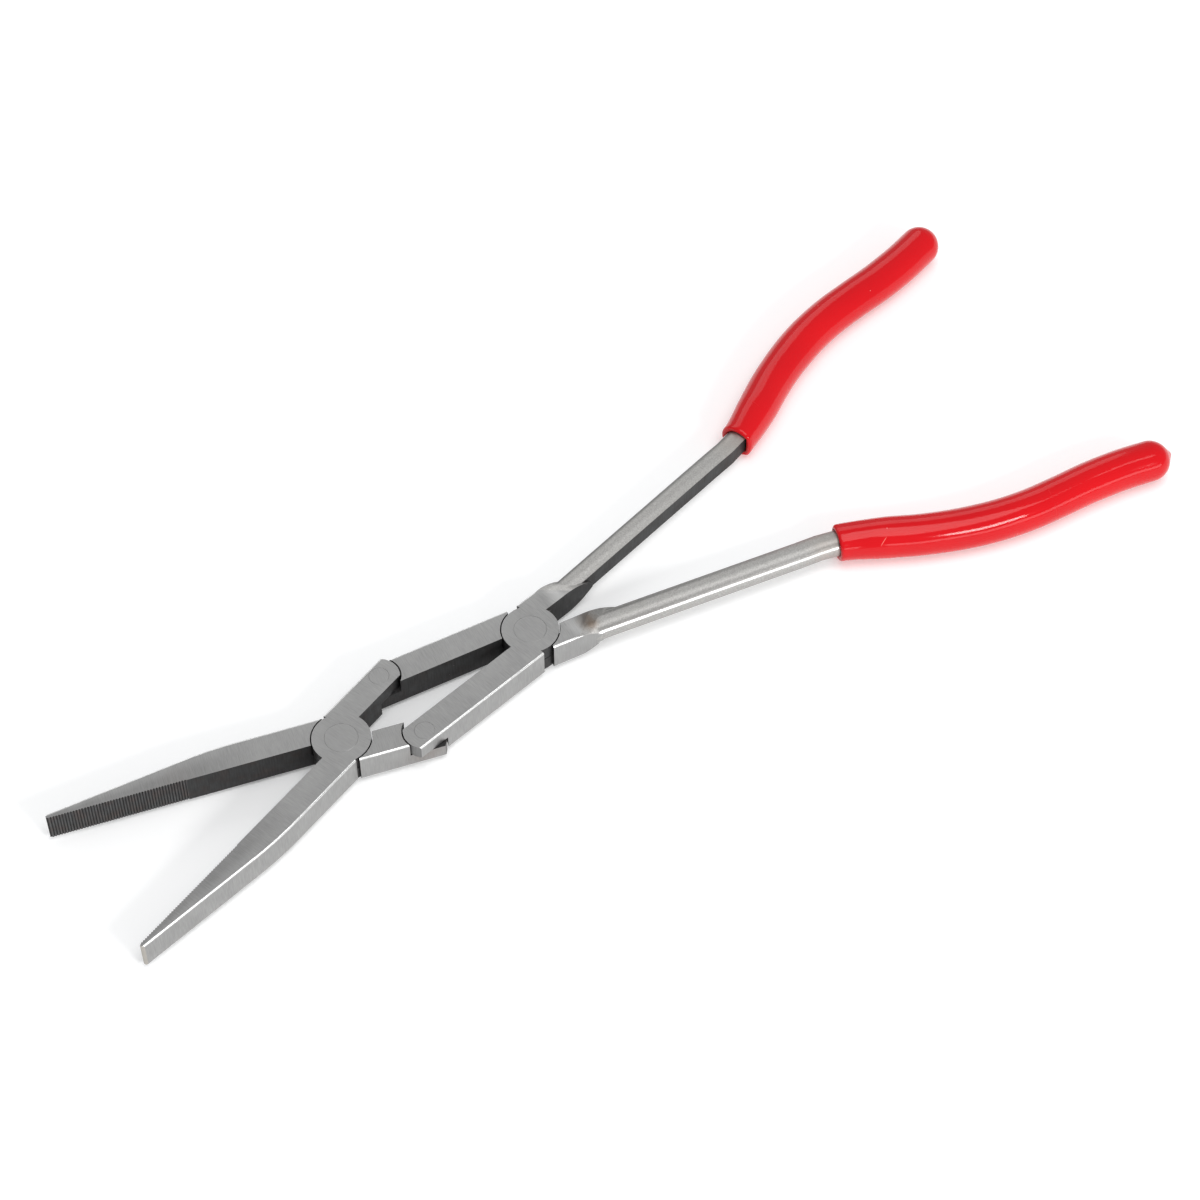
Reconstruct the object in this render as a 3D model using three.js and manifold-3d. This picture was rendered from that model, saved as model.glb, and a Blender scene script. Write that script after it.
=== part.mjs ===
// Long-reach pliers with a double joint, lying flat, jaws towards +X, millimetres, +Z up.
// Two jaws cross at the front rivet and two levers cross at the rear rivet. Each jaw's tail is
// riveted to the far lever's arm, so the four form a kite linkage. All four joints are half laps:
// each piece is cut to half its thickness there. A jaw or lever turned over makes its partner.

import * as THREE from 'three';
import { mergeVertices } from 'three/addons/utils/BufferGeometryUtils.js';
import Module from 'manifold-3d';

const wasm = await Module();
wasm.setup();

// Driving sizes: the linkage, with the tool closed.
const ARM_REACH = 43.2;
const TAIL_REACH = 21.65;
const LINK_OFFSET = 4.9;
const JAW_OPENING = 17;

// Driving sizes: the forged head.
const THICKNESS = 9;
const FRONT_DISC_RADIUS = 8;
const REAR_DISC_RADIUS = 7.9;
const TAIL_END_RADIUS = 5.7;
const ARM_END_RADIUS = 5.85;
const EDGE_CHAMFER = 0.45;

// Driving sizes: the jaws.
const JAW_LENGTH = 80;
const JAW_WIDTH = 7.8;
const JAW_BEND = 34.5;
const BEND_BLEND = 7.6;
const TIP_WIDTH = 1.55;
const TIP_CORNER = 0.5;
const TEETH_LENGTH = 37.7;
const TOOTH_PITCH = 0.77;
const TOOTH_DEPTH = 0.28;
const TAIL_WIDTH = 7.8;
const TAIL_SPACE = 0.6;

// Where each shoulder stands, as a share of the radius of its pivot disc.
const NOSE_SHOULDER = 0.4;
const TAIL_SHOULDER = 0.33;
const LEVER_SHOULDER = 0.37;

// Driving sizes: the levers.
const ARM_WIDTH = 7.9;
const ARM_SPACE = 0.7;
const SHOULDER_LENGTH = 11;
const SHANK_OFFSET = 5.12;
const SHANK_SPLAY = 3.76;
const SHANK_LENGTH = 90.5;
const SHANK_STEP = 0.4;
const SCOOP_LENGTH = 7;
const SCOOP_SLANT = 45;
const ROD_RADIUS = 3.4;
const ROD_FLAT = 2.86;
const ROD_FLAT_HALF_HEIGHT = 2.7;
const ROD_END_MARGIN = 3;

// Driving sizes: the grips and rivets.
const GRIP_LENGTH = 99.9;
const GRIP_WALL = 2.3;
const MOUTH_WALL = 1.5;
const MOUTH_LIP = 0.5;
const MOUTH_RISE = 0.2;
const GRIP_SWELL = 16;
const FRONT_RIVET_RADIUS = 4.25;
const REAR_RIVET_RADIUS = 4.2;
const LINK_RIVET_RADIUS = 2.45;
const RIVET_SHANK_SHARE = 0.74;
const RIVET_LAND = 0.9;

// The middle line of the straight shank, as shares of its length, and the bow of the grip: how far
// along it, as a share of its length, and how far out from the middle of its mouth.
const SHANK_STATIONS = [0.087, 0.173, 0.541, 0.866];
const GRIP_BOW = [[0, 0], [0.125, 4.2], [0.232, 8.4], [0.338, 11.7], [0.442, 13.8], [0.545, 14.7],
  [0.646, 14.6], [0.746, 14.2], [0.848, 14.5], [0.95, 15.6], [1, 16]];

// Clearances.
const FACE_GAP = 0.3;
const RIVET_GAP = 0.3;
const DISC_GAP = 0.35;
const END_GAP = 0.4;
const JAW_GAP = 0.3;
const GRIP_GAP = 0.3;
const GRIP_END_GAP = 1;

// Fineness of the curved surfaces.
const ROUND_SIDES = 40;
const GRIP_SIDES = 18;
const GRIP_STEPS = 13;
const GRIP_END_STEPS = 4;
const ARC_STEPS = 6;
const CHAMFER_STEPS = 3;
const ROD_STEP = 7;
const LINE_STEPS = 400;

const degrees = THREE.MathUtils.degToRad;
const half = THICKNESS / 2;
const beyond = 2;

// The kite linkage: where the pivots stand when the jaws are open.
const armLength = Math.hypot(ARM_REACH, LINK_OFFSET);
const tailLength = Math.hypot(TAIL_REACH, LINK_OFFSET);
const closedArmAngle = Math.atan2(LINK_OFFSET, ARM_REACH);
const closedTailAngle = Math.atan2(LINK_OFFSET, TAIL_REACH);
const openTailAngle = closedTailAngle + degrees(JAW_OPENING);
const openLinkOffset = tailLength * Math.sin(openTailAngle);
const openArmAngle = Math.asin(openLinkOffset / armLength);
const leverOpening = openArmAngle - closedArmAngle;
const openArmReach = armLength * Math.cos(openArmAngle);
const pivotSpan = openArmReach + tailLength * Math.cos(openTailAngle);

// The grips fit over the rods.
const gripBore = ROD_RADIUS + GRIP_GAP;
const gripRadius = gripBore + GRIP_WALL;
const mouthRadius = gripBore + MOUTH_WALL;

// A closed geometry as a solid that can be joined and cut.
function solid(geometry) {
  const bare = geometry.clone();
  bare.deleteAttribute('normal');
  bare.deleteAttribute('uv');
  const merged = mergeVertices(bare, 1e-4);
  const vertProperties = new Float32Array(merged.attributes.position.array);
  const triVerts = new Uint32Array(merged.index.array);
  return new wasm.Manifold(new wasm.Mesh({ numProp: 3, vertProperties, triVerts }));
}

// A solid back as a geometry.
function geometryOf(piece) {
  const { vertProperties, triVerts } = piece.getMesh();
  const geometry = new THREE.BufferGeometry();
  geometry.setAttribute('position', new THREE.BufferAttribute(vertProperties, 3));
  geometry.setIndex(new THREE.BufferAttribute(triVerts, 1));
  return geometry;
}

// An outline as a plate between two heights, with its edges chamfered.
function plate(outline, low, high, chamfer = 0) {
  const geometry = new THREE.ExtrudeGeometry(outline, {
    depth: high - low - 2 * chamfer,
    bevelEnabled: chamfer > 0,
    bevelThickness: chamfer,
    bevelSize: chamfer,
    bevelOffset: -chamfer,
    bevelSegments: CHAMFER_STEPS,
    curveSegments: ARC_STEPS,
  });
  return solid(geometry.translate(0, 0, low + chamfer));
}

function disc(x, y, radius, low, high) {
  const geometry = new THREE.CylinderGeometry(radius, radius, high - low, ROUND_SIDES);
  return solid(geometry.rotateX(Math.PI / 2).translate(x, y, (low + high) / 2));
}

function block(x0, x1, y0, y1) {
  const geometry = new THREE.BoxGeometry(x1 - x0, y1 - y0, THICKNESS + 2 * beyond);
  return solid(geometry.translate((x0 + x1) / 2, (y0 + y1) / 2, 0));
}

// A rivet ground flush at both ends: a shank with a countersunk head at each face.
// With a gap it is the hole that the rivet fills, running past both faces.
function rivet(headRadius, gap = 0) {
  const shankRadius = headRadius * RIVET_SHANK_SHARE + gap;
  const head = headRadius + gap;
  const coneEnd = half - RIVET_LAND - (head - shankRadius);
  const end = gap > 0 ? half + beyond : half;
  const profile = [[0, -end], [head, -end], [head, RIVET_LAND - half],
    [shankRadius, -coneEnd], [shankRadius, coneEnd], [head, half - RIVET_LAND], [head, end], [0, end]];
  const points = profile.map(([r, z]) => new THREE.Vector2(r, z));
  return solid(new THREE.LatheGeometry(points, ROUND_SIDES).rotateX(Math.PI / 2));
}

// Where a circle of a given radius crosses a line a given distance from its centre.
function chord(radius, distance) {
  return Math.sqrt(radius * radius - distance * distance);
}

// The front of a jaw: straight from its shoulder to the bend, then tapering to a square tip.
// With a margin it is the larger blank that the nose is cut from, along the same outer edge.
function noseOutline(shoulder, margin = 0) {
  const slope = (JAW_WIDTH - TIP_WIDTH) / (JAW_LENGTH - JAW_BEND);
  const edge = (x) => JAW_WIDTH - (x - JAW_BEND) * slope;
  const tip = JAW_LENGTH + margin;
  const corner = margin > 0 ? 0 : TIP_CORNER;
  const outline = new THREE.Shape();
  outline.moveTo(shoulder - margin, -beyond - margin);
  outline.lineTo(tip, -beyond - margin);
  outline.lineTo(tip, edge(tip) - corner);
  if (corner > 0) outline.lineTo(tip - corner, edge(tip - corner));
  outline.lineTo(JAW_BEND + BEND_BLEND, edge(JAW_BEND + BEND_BLEND));
  outline.quadraticCurveTo(JAW_BEND, JAW_WIDTH, JAW_BEND - BEND_BLEND, JAW_WIDTH);
  outline.lineTo(shoulder - margin, JAW_WIDTH);
  return outline;
}

// A bar that runs from a shoulder to a round end about a link rivet at (x, y), x and y positive.
function linkOutline(x, y, radius, shoulder, innerEdge, outerEdge) {
  const outer = outerEdge - y;
  const inner = innerEdge - y;
  const start = Math.atan2(inner, chord(radius, inner));
  const end = Math.atan2(outer, chord(radius, outer));
  const outline = new THREE.Shape();
  outline.moveTo(shoulder, innerEdge);
  outline.lineTo(x + chord(radius, inner), innerEdge);
  outline.absarc(x, y, radius, start, end, false);
  outline.lineTo(shoulder, outerEdge);
  return outline;
}

// A straight blank whose long outer edges are chamfered, longer than the bar cut from it.
function blank(x0, x1, y0, y1) {
  const outline = new THREE.Shape();
  outline.moveTo(x0, y0);
  outline.lineTo(x1, y0);
  outline.lineTo(x1, y1);
  outline.lineTo(x0, y1);
  return plate(outline, -half, half, EDGE_CHAMFER);
}

// The bar of a tail or an arm, chamfered only along its straight outer edge.
function linkBar(x, y, radius, shoulder, innerEdge, width) {
  const outerEdge = innerEdge + width;
  const outline = linkOutline(x, y, radius, shoulder, innerEdge, outerEdge);
  return plate(outline, -half, half)
    .intersect(blank(-beyond, x + radius + beyond, innerEdge - beyond, outerEdge));
}

// The cross-serrations of a gripping face, as the comb that cuts them.
function toothComb() {
  const count = Math.round(TEETH_LENGTH / TOOTH_PITCH);
  const first = JAW_LENGTH - count * TOOTH_PITCH;
  const face = JAW_GAP / 2;
  const comb = new THREE.Shape();
  comb.moveTo(first, -beyond);
  comb.lineTo(first, face);
  for (let tooth = 0; tooth < count; tooth += 1) {
    const x = first + tooth * TOOTH_PITCH;
    comb.lineTo(x + TOOTH_PITCH / 2, face + TOOTH_DEPTH);
    if (tooth < count - 1) comb.lineTo(x + TOOTH_PITCH, face);
  }
  comb.lineTo(JAW_LENGTH + beyond, face + TOOTH_DEPTH);
  comb.lineTo(JAW_LENGTH + beyond, -beyond);
  return plate(comb, -half - beyond, half + beyond);
}

// The left jaw, closed, about the front rivet: nose on +Y, tail on -Y, upper half at both laps.
function jaw() {
  const lap = FACE_GAP / 2;
  const noseShoulder = FRONT_DISC_RADIUS * NOSE_SHOULDER;
  const tailShoulder = FRONT_DISC_RADIUS * TAIL_SHOULDER;
  const nose = plate(noseOutline(noseShoulder), -half, half)
    .intersect(plate(noseOutline(noseShoulder, beyond), -half, half, EDGE_CHAMFER))
    .subtract(block(0, JAW_LENGTH + beyond, -2 * beyond, JAW_GAP / 2));
  const tail = linkBar(TAIL_REACH, LINK_OFFSET, TAIL_END_RADIUS, tailShoulder, TAIL_SPACE, TAIL_WIDTH)
    .rotate([0, 0, 180]);
  const armRecess = disc(-TAIL_REACH, -LINK_OFFSET, ARM_END_RADIUS + END_GAP, -half - beyond, lap);
  return nose.add(tail)
    .subtract(disc(0, 0, FRONT_DISC_RADIUS + DISC_GAP, -half - beyond, lap))
    .subtract(armRecess)
    .add(disc(0, 0, FRONT_DISC_RADIUS, lap, half))
    .subtract(rivet(FRONT_RIVET_RADIUS, RIVET_GAP))
    .subtract(rivet(LINK_RIVET_RADIUS, RIVET_GAP).translate([-TAIL_REACH, -LINK_OFFSET, 0]))
    .subtract(toothComb());
}

// The middle line of a handle about the rear rivet, on +Y, from the shoulder to the grip's end.
function handleLine() {
  const slope = Math.tan(degrees(SHANK_SPLAY));
  const shoulder = SHANK_STATIONS[1] * SHANK_LENGTH;
  const offset = (x) => SHANK_OFFSET + (x - shoulder) * slope;
  const shank = SHANK_STATIONS.map((share) => [share * SHANK_LENGTH, offset(share * SHANK_LENGTH)]);
  const mouth = offset(SHANK_LENGTH) + MOUTH_RISE;
  const bow = GRIP_BOW.map(([share, y]) => [SHANK_LENGTH + share * GRIP_LENGTH, mouth + y]);
  const points = [...shank, ...bow].map(([x, y]) => new THREE.Vector3(-x, -y, 0));
  return new THREE.CatmullRomCurve3(points);
}

// How far along the handle's line, as a share of it, x falls.
function shareAt(line, x) {
  const shares = Array.from({ length: LINE_STEPS + 1 }, (_, step) => step / LINE_STEPS);
  return shares.find((share) => line.getPointAt(share).x <= -x) ?? 1;
}

// Bend a straight geometry: its y runs along the line, its x across it and its z stays up.
function bendAlong(geometry, line, start) {
  const position = geometry.attributes.position;
  const length = line.getLength();
  const vertex = new THREE.Vector3();
  for (let index = 0; index < position.count; index += 1) {
    vertex.fromBufferAttribute(position, index);
    const share = THREE.MathUtils.clamp((start + vertex.y) / length, 0, 1);
    const along = line.getTangentAt(share);
    const place = line.getPointAt(share);
    place.addScaledVector(along, start + vertex.y - share * length);
    position.setXYZ(index, place.x + vertex.x * along.y, place.y - vertex.x * along.x, vertex.z);
  }
  return geometry;
}

// The section of a rod: round outside, squarer inside, with a flat along the inner side.
function rodSection(gap) {
  const radius = ROD_RADIUS + gap;
  const flat = ROD_FLAT + gap;
  const height = ROD_FLAT_HALF_HEIGHT + gap;
  const depth = flat / Math.sqrt(1 - (height / radius) ** 2);
  const corner = Math.acos(flat / depth);
  const section = new THREE.Shape();
  section.absellipse(0, 0, depth, radius, corner, Math.PI / 2, false);
  section.absarc(0, 0, radius, Math.PI / 2, 1.5 * Math.PI, false);
  section.absellipse(0, 0, depth, radius, 1.5 * Math.PI, 2 * Math.PI - corner, false);
  return section;
}

// The rod of a lever along the handle's line, or the room for it in a grip.
function rod(line, length, gap = 0) {
  const geometry = new THREE.ExtrudeGeometry(rodSection(gap), {
    depth: length,
    steps: Math.round(length / ROD_STEP),
    bevelEnabled: false,
    curveSegments: ARC_STEPS,
  });
  return solid(bendAlong(geometry.rotateX(-Math.PI / 2), line, 0));
}

// The room a shoulder fills: full thickness, then scooped down to the rod along a slanted line.
function shoulderRoom(edge) {
  const back = SHOULDER_LENGTH + 2 * beyond;
  const above = half + 1;
  const crest = -SCOOP_LENGTH / 2;
  const low = [-SCOOP_LENGTH, ROD_RADIUS * 0.3];
  const profile = new THREE.Shape();
  profile.moveTo(back, -above);
  profile.lineTo(back, above);
  profile.lineTo(0, above);
  profile.lineTo(0, half);
  profile.quadraticCurveTo(crest, half, low[0], low[1]);
  profile.lineTo(low[0], -low[1]);
  profile.quadraticCurveTo(crest, -half, 0, -half);
  profile.lineTo(0, -above);
  const width = 6 * edge;
  const options = { depth: width, bevelEnabled: false, curveSegments: ARC_STEPS };
  const geometry = new THREE.ExtrudeGeometry(profile, options).translate(0, 0, -width / 2);
  geometry.rotateX(Math.PI / 2).rotateZ(degrees(SCOOP_SLANT));
  return solid(geometry.translate(-SHOULDER_LENGTH, -edge * 0.75, 0));
}

// The right lever, closed, about the rear rivet: arm on +Y, handle on -Y, upper half at both laps.
function lever(line, rodLength) {
  const lap = FACE_GAP / 2;
  const shoulder = REAR_DISC_RADIUS * LEVER_SHOULDER;
  const arm = linkBar(ARM_REACH, LINK_OFFSET, ARM_END_RADIUS, shoulder, ARM_SPACE, ARM_WIDTH);
  const shankEdge = SHANK_OFFSET + ROD_RADIUS;
  const shankInner = SHANK_OFFSET - ROD_FLAT - SHANK_STEP;
  const shank = blank(-4 * SHOULDER_LENGTH, beyond, -shankEdge, beyond)
    .intersect(block(-3 * SHOULDER_LENGTH, -shoulder, -2 * shankEdge, -shankInner))
    .intersect(shoulderRoom(shankEdge));
  const tailRecess = disc(ARM_REACH, LINK_OFFSET, TAIL_END_RADIUS + END_GAP, -half - beyond, lap);
  return arm.add(shank).add(rod(line, rodLength))
    .subtract(disc(0, 0, REAR_DISC_RADIUS + DISC_GAP, -half - beyond, lap))
    .subtract(tailRecess)
    .add(disc(0, 0, REAR_DISC_RADIUS, lap, half))
    .subtract(rivet(REAR_RIVET_RADIUS, RIVET_GAP))
    .subtract(rivet(LINK_RIVET_RADIUS, RIVET_GAP).translate([ARM_REACH, LINK_OFFSET, 0]));
}

// A dipped grip: a closed sleeve over the rod's end, thin at its mouth, with a round end.
function grip(line, mouth, length, rodLength) {
  const profile = [[0, 0], [mouthRadius - MOUTH_LIP, 0], [mouthRadius, MOUTH_LIP]];
  for (let step = 1; step <= GRIP_STEPS; step += 1) {
    const along = step * (length - gripRadius) / GRIP_STEPS;
    const grown = THREE.MathUtils.smoothstep(along, 0, GRIP_SWELL);
    profile.push([THREE.MathUtils.lerp(mouthRadius, gripRadius, grown), along]);
  }
  for (let step = 1; step < GRIP_END_STEPS; step += 1) {
    const angle = step * Math.PI / 2 / GRIP_END_STEPS;
    const rise = length - gripRadius + gripRadius * Math.sin(angle);
    profile.push([gripRadius * Math.cos(angle), rise]);
  }
  profile.push([0, length]);
  const points = profile.map(([radius, along]) => new THREE.Vector2(radius, along));
  const sleeve = solid(bendAlong(new THREE.LatheGeometry(points, GRIP_SIDES), line, mouth));
  return sleeve.subtract(rod(line, rodLength + GRIP_END_GAP, GRIP_GAP));
}

const steel = { color: 0x9c9c9a, roughness: 0.38, metalness: 1 };
const vinyl = { color: 0xd20f1e, roughness: 0.25, metalness: 0 };

function piece(name, geometry, finish, x, y, turn) {
  const mesh = new THREE.Mesh(geometry, new THREE.MeshStandardMaterial(finish));
  mesh.name = name;
  mesh.position.set(x, y, 0);
  mesh.rotation.z = turn;
  return mesh;
}

const line = handleLine();
const lineLength = line.getLength();
const mouthAlong = shareAt(line, SHANK_LENGTH) * lineLength;
const gripLength = lineLength - mouthAlong;
const rodLength = lineLength - gripRadius - ROD_END_MARGIN;
const jawShape = geometryOf(jaw());
const leverShape = geometryOf(lever(line, rodLength));
const gripShape = geometryOf(grip(line, mouthAlong, gripLength, rodLength));
const over = (geometry) => geometry.clone().rotateX(Math.PI);
const turned = degrees(JAW_OPENING);
const linkRivet = geometryOf(rivet(LINK_RIVET_RADIUS));

const pliers = new THREE.Group();
pliers.add(
  piece('left_jaw', jawShape, steel, pivotSpan, 0, turned),
  piece('right_jaw', over(jawShape), steel, pivotSpan, 0, -turned),
  piece('right_lever', leverShape, steel, 0, 0, leverOpening),
  piece('left_lever', over(leverShape), steel, 0, 0, -leverOpening),
  piece('front_rivet', geometryOf(rivet(FRONT_RIVET_RADIUS)), steel, pivotSpan, 0, turned),
  piece('rear_rivet', geometryOf(rivet(REAR_RIVET_RADIUS)), steel, 0, 0, 0),
  piece('left_link_rivet', linkRivet, steel, openArmReach, openLinkOffset, 0),
  piece('right_link_rivet', linkRivet.clone(), steel, openArmReach, -openLinkOffset, 0),
  piece('right_grip', gripShape, vinyl, 0, 0, leverOpening),
  piece('left_grip', over(gripShape), vinyl, 0, 0, -leverOpening),
);

// The origin is under the middle of the whole tool, on the surface that it lies on.
const box = new THREE.Box3().setFromObject(pliers, true);
const middle = box.getCenter(new THREE.Vector3());
pliers.position.set(-middle.x, -middle.y, -box.min.z);

export default pliers;
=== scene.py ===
import math
import bmesh
import bpy
import numpy as np
from mathutils import Matrix, Vector


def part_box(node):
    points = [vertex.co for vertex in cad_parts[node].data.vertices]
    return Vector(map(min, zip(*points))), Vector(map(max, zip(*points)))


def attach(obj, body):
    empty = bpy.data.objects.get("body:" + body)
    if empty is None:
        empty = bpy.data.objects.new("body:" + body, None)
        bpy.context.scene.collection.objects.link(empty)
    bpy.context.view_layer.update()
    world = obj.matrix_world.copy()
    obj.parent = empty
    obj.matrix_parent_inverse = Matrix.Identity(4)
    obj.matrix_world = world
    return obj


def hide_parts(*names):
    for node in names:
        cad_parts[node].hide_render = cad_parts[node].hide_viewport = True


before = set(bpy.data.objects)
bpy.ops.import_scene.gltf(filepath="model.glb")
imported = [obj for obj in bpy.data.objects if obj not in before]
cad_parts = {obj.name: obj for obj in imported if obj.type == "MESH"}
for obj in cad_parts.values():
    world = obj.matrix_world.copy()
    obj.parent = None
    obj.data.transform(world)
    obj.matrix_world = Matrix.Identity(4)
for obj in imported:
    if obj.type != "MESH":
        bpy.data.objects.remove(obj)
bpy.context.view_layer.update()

# Camera
# A long lens looks down at the open pliers from past the jaws, on the left handle's side. The
# jaws lie at the lower left of the view and the handles run up to the right.

CAMERA_PLACE = Vector((0.31568, 0.44213, 0.71755))
CAMERA_AIM = Vector((0.00033, 0.00029, 0.0060))
CAMERA_LENS = 97.336
CAMERA_SENSOR = 36.0
CAMERA_ROLL = math.radians(-0.366)

camera_data = bpy.data.cameras.new("camera")
camera_data.lens = CAMERA_LENS
camera_data.sensor_width = CAMERA_SENSOR
camera = bpy.data.objects.new("camera", camera_data)
camera_look = (CAMERA_AIM - CAMERA_PLACE).to_track_quat("-Z", "Y").to_matrix().to_4x4()
camera_roll = Matrix.Rotation(CAMERA_ROLL, 4, "Z")
camera.matrix_world = Matrix.Translation(CAMERA_PLACE) @ camera_look @ camera_roll
bpy.context.scene.collection.objects.link(camera)
bpy.context.scene.camera = camera

# Floor and studio light
# A wide white table under an even white sky. A large soft box hangs overhead, a low one lights
# the outer edges, a narrow one draws the shine on the grips, and one fills in from behind.

FLOOR_HALF = 4.0
FLOOR_COLOUR = (0.93, 0.93, 0.93)
FLOOR_ROUGHNESS = 0.9
FLOOR_GLOW = 0.15
SKY_COLOUR = (0.97, 0.985, 1.0)
SKY_STRENGTH = 0.46
SOFT_BOXES = (
    # name, place, aim, width, height, power in watts
    ("overhead_box", (-0.10, 0.25, 1.30), (0.0, 0.0, 0.0), 0.90, 0.90, 7.6),
    ("low_box", (-0.10, 1.25, 0.22), (-0.03, 0.03, 0.0), 1.20, 0.25, 3.0),
    ("shine_box", (-0.112, 0.973, 0.59), (-0.107, 0.045, 0.0), 0.42, 0.19, 5.6),
    ("back_box", (-0.35, -1.00, 0.85), (0.0, 0.0, 0.0), 1.20, 0.60, 3.0),
)


def add_nodes(material):
    """The node tree of a material or world, emptied but for its output node."""
    material.use_nodes = True
    tree = material.node_tree
    for old in list(tree.nodes):
        if not old.bl_idname.startswith("ShaderNodeOutput"):
            tree.nodes.remove(old)
    return tree


def fill(tree, made, inputs):
    """Sets a node's inputs, each to a plain value or from the socket that feeds it."""
    for name, value in inputs.items():
        socket = made.inputs[name]
        if isinstance(value, bpy.types.NodeSocket):
            tree.links.new(value, socket)
        else:
            socket.default_value = value
    return made


def add(tree, kind, inputs=None, **settings):
    """A new shader node with its settings and inputs."""
    made = tree.nodes.new("ShaderNode" + kind)
    for name, value in settings.items():
        setattr(made, name, value)
    return fill(tree, made, inputs or {})


def finish_with(tree, shader):
    """Joins the shader to the material's output."""
    output = next(n for n in tree.nodes if n.bl_idname.startswith("ShaderNodeOutput"))
    tree.links.new(shader.outputs[0], output.inputs["Surface"])


floor_mesh = bpy.data.meshes.new("floor")
floor_corners = [(-1, -1, 0), (1, -1, 0), (1, 1, 0), (-1, 1, 0)]
floor_mesh.from_pydata([Vector(c) * FLOOR_HALF for c in floor_corners], [], [(0, 1, 2, 3)])
floor = bpy.data.objects.new("floor", floor_mesh)
bpy.context.scene.collection.objects.link(floor)
floor_paint = bpy.data.materials.new("floor_paint")
floor_tree = add_nodes(floor_paint)
floor_shader = add(floor_tree, "BsdfPrincipled", {
    "Base Color": (*FLOOR_COLOUR, 1.0), "Roughness": FLOOR_ROUGHNESS, "Specular IOR Level": 0.0,
    "Emission Color": (1.0, 1.0, 1.0, 1.0), "Emission Strength": FLOOR_GLOW})
finish_with(floor_tree, floor_shader)
floor_mesh.materials.append(floor_paint)

sky = bpy.data.worlds.new("sky")
sky_tree = add_nodes(sky)
finish_with(sky_tree, add(sky_tree, "Background", {
    "Color": (*SKY_COLOUR, 1.0), "Strength": SKY_STRENGTH}))
bpy.context.scene.world = sky

for box_name, place, aim, width, height, power in SOFT_BOXES:
    box_light = bpy.data.lights.new(box_name, "AREA")
    box_light.shape = "RECTANGLE"
    box_light.size = width
    box_light.size_y = height
    box_light.energy = power
    box = bpy.data.objects.new(box_name, box_light)
    box.visible_camera = False
    box_turn = (Vector(aim) - Vector(place)).to_track_quat("-Z", "Y").to_matrix().to_4x4()
    box.matrix_world = Matrix.Translation(place) @ box_turn
    bpy.context.scene.collection.objects.link(box)
bpy.context.scene.view_settings.view_transform = "Standard"

# Jaws
# Two forged steel jaws, half lapped where they cross. Tops, undersides and outer sides are
# ground bright across the length; gripping faces, teeth and laps keep the black forge finish.

JAW_OPENING = math.radians(17.0)
HALF_THICKNESS = 0.0045
NOSE_START_X = 0.0032
JAW_TIP_X = 0.0795
TAIL_START_X = -0.0026
TAIL_END_X = -0.0225
TAIL_SIDE_Y = -0.005
TEETH_START = 0.0423
TOOTH_CREST = 0.00015
TOOTH_VALLEY = 0.00043
EDGE_BREAK = 0.00007
CHAMFER_FROM = 0.004
SHARP_ANGLE = math.radians(38.0)
SAME_FACE_ANGLE = math.radians(0.4)
SAME_POINT = 2e-6
FACE_TOLERANCE = 0.00006
TOP_FACING = 0.99
CHAMFER_FACING = 0.1
SIDE_FACING = 0.97
NOSE_FACING = 0.3
TIP_FACING = 0.5
END_FACING = 0.1
WALL_FACING = 0.3
STEEL_COLOUR = (0.385, 0.382, 0.377)
STEEL_DARK = (0.272, 0.27, 0.267)
SATIN_COLOUR = (0.455, 0.447, 0.433)
SATIN_DARK = (0.33, 0.322, 0.31)
# The outer sides are painted a touch lighter than the tops: painted light.
SIDE_PAINTED_LIGHT = 1.05
# Chamfers are painted light: partly worn polish, partly painted highlight.
CHAMFER_WEAR_AND_HIGHLIGHT = (0.74, 0.74, 0.73)
BLACK_COLOUR = (0.0215, 0.0216, 0.022)
BLACK_BROWN = (0.042, 0.026, 0.021)
TIP_TINT = (0.60, 0.53, 0.43)
TIP_TINT_SHARE = 0.3
END_BLACK = 0.62
BLACK_METAL_LOSS = 0.75
# Painted shade on the nose's top towards the gripping face.
NOSE_PAINTED_SHADE = 0.82
NOSE_TAPER_X = (0.0345, 0.080)
NOSE_TAPER_WIDTH = (0.0068, 0.0013)
PAINTED_SHADE_FROM_TO = (0.018, 0.045)
CREST_WEAR_AND_HIGHLIGHT = 3.6
VALLEY_PAINTED_SHADE = 0.2
GRAIN_ACROSS = 0.00017
GRAIN_RUN = 0.0042
GRAIN_PATCH_CELLS = 140.0
PIT_CELLS = 2600.0
STAIN_CELLS = 300.0
WEAR_CELLS = 420.0
CLOUD_CELLS = 260.0
STREAK_ALONG = 0.0004
STREAK_ACROSS = 0.004
STEEL_DUST = {"Cells": 700.0, "Size": 0.09, "Share": 0.10}
STEEL_DUST_SHARE = 0.4
STEEL_ROUGH = (0.46, 0.36)
SATIN_ROUGH = (0.54, 0.46)
EDGE_ROUGH = 0.26
FORGE_ROUGH = (0.42, 0.58)
STEEL_RELIEF = 0.22
STEEL_RELIEF_DEPTH = 0.00006
JAWS = (
    # node, side, share of brown, stains as (centre, reach, colour, strength)
    ("left_jaw", 1, 0.35, ()),
    ("right_jaw", -1, 0.5, (
        ((-0.0216, 0.0049, 0.0), 0.010, (0.16, 0.10, 0.07), 0.35),
        ((0.045, 0.0, 0.0), 0.009, (0.20, 0.13, 0.10), 0.15))),
)


def noise(tree, vector, scale, detail=2.0, roughness=0.5):
    """A noise pattern's value socket."""
    made = add(tree, "TexNoise", {
        "Vector": vector, "Scale": scale, "Detail": detail, "Roughness": roughness})
    return made.outputs[0]


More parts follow.
